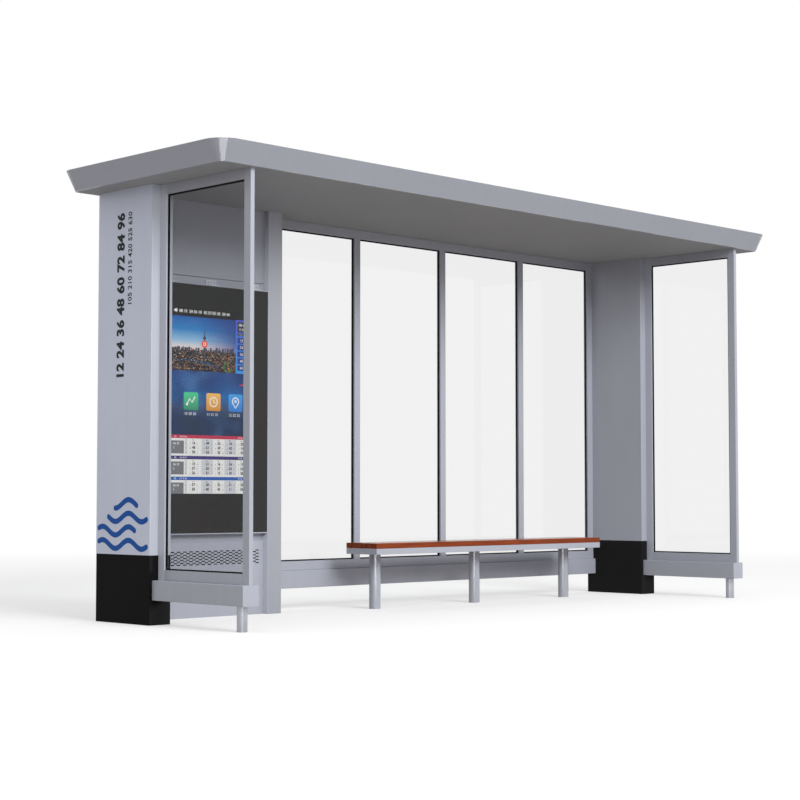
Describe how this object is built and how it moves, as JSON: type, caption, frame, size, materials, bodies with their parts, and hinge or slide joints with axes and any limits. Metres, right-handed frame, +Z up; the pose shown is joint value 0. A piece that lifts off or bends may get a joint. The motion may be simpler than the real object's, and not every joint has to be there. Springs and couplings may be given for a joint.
{
  "type": "bus shelter",
  "caption": "Open-fronted bus shelter: two box pylons, flared flat roof, glazed back and end screens, information kiosk with vent grille, and a slatted bench on round legs.",
  "frame": {"origin": "on the ground under the centre of the roof's plan", "axes": "+X along the shelter towards the end away from the kiosk, -Y towards the open front, +Z up"},
  "size_m": [5.49, 1.614, 2.811],
  "materials": {
    "silver_paint": "semi-gloss silver-grey powder coat",
    "roof_paint": "semi-gloss silver-grey powder coat",
    "soffit_paint": "semi-gloss grey powder coat",
    "bench_paint": "semi-gloss silver-grey powder coat",
    "foot_steel": "satin steel",
    "black_paint": "satin black powder coat",
    "gasket_rubber": "matt black glazing gasket",
    "clear_glass": "clear toughened glass",
    "screen_glass": "glossy black display face",
    "vent_filter": "matt black filter mat",
    "bracket_paint": "light grey powder coat",
    "panel_paint": "satin light blue-grey sheet with a large printed number and stripes",
    "bench_wood": "satin reddish-brown varnish"
  },
  "bodies": {
    "root": {"back_beam": "silver_paint", "back_bottom_rail": "silver_paint", "back_gaskets": "gasket_rubber", "back_glass_1": "clear_glass", "back_glass_2": "clear_glass", "back_glass_3": "clear_glass", "back_glass_4": "clear_glass", "back_left_stile": "silver_paint", "back_mullion_1": "silver_paint", "back_mullion_2": "silver_paint", "back_mullion_3": "silver_paint", "back_right_stile": "silver_paint", "back_top_rail": "silver_paint", "bench_back_rail": "bench_paint", "bench_cross_bars": "bench_paint", "bench_front_rail": "bench_paint", "bench_leg_left": "bench_paint", "bench_leg_middle": "bench_paint", "bench_leg_right": "bench_paint", "bench_slats": "bench_wood", "kiosk_header": "silver_paint", "kiosk_housing": "silver_paint", "kiosk_post": "silver_paint", "kiosk_screen": "screen_glass", "kiosk_screen_frame": "silver_paint", "kiosk_upper_panel": "silver_paint", "kiosk_vent_filter": "vent_filter", "kiosk_vent_panel": "silver_paint", "left_back_stile": "silver_paint", "left_beam": "silver_paint", "left_bottom_rail": "silver_paint", "left_end_panel": "panel_paint", "left_front_foot": "foot_steel", "left_front_stile": "silver_paint", "left_gaskets": "gasket_rubber", "left_glass": "clear_glass", "left_plinth": "black_paint", "left_pylon": "silver_paint", "left_top_rail": "silver_paint", "right_back_stile": "silver_paint", "right_beam": "silver_paint", "right_bottom_rail": "silver_paint", "right_end_panel": "panel_paint", "right_front_foot": "foot_steel", "right_front_stile": "silver_paint", "right_gaskets": "gasket_rubber", "right_glass": "clear_glass", "right_plinth": "black_paint", "right_pylon": "silver_paint", "right_top_rail": "silver_paint", "roof_deck": "roof_paint", "roof_fascia": "roof_paint", "roof_soffit": "soffit_paint", "screen_brackets": "bracket_paint"}
  },
  "joints": []
}
